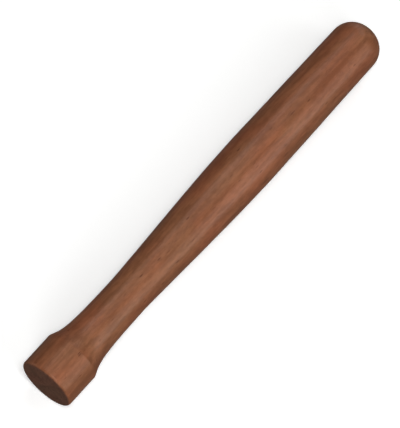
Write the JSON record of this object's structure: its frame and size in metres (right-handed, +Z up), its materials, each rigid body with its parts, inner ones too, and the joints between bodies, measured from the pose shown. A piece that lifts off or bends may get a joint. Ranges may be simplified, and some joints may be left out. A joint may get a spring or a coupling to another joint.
{
  "type": "bar muddler",
  "caption": "One-piece turned wooden bar muddler: flat round muddling foot with an eased rim, a crisp shoulder, a slim flared neck and a long bat-shaped grip with a domed butt.",
  "frame": {"origin": "centre of the flat muddling face, on the turning axis", "axes": "+X along the turning axis, from the muddling face to the domed butt, +Z up with the tool lying on its side"},
  "size_m": [0.254, 0.0302, 0.0302],
  "materials": {
    "lacquered_hardwood": "walnut-stained fine-grained hardwood under a thin satin lacquer"
  },
  "bodies": {
    "root": {"muddler": "lacquered_hardwood"}
  },
  "joints": []
}
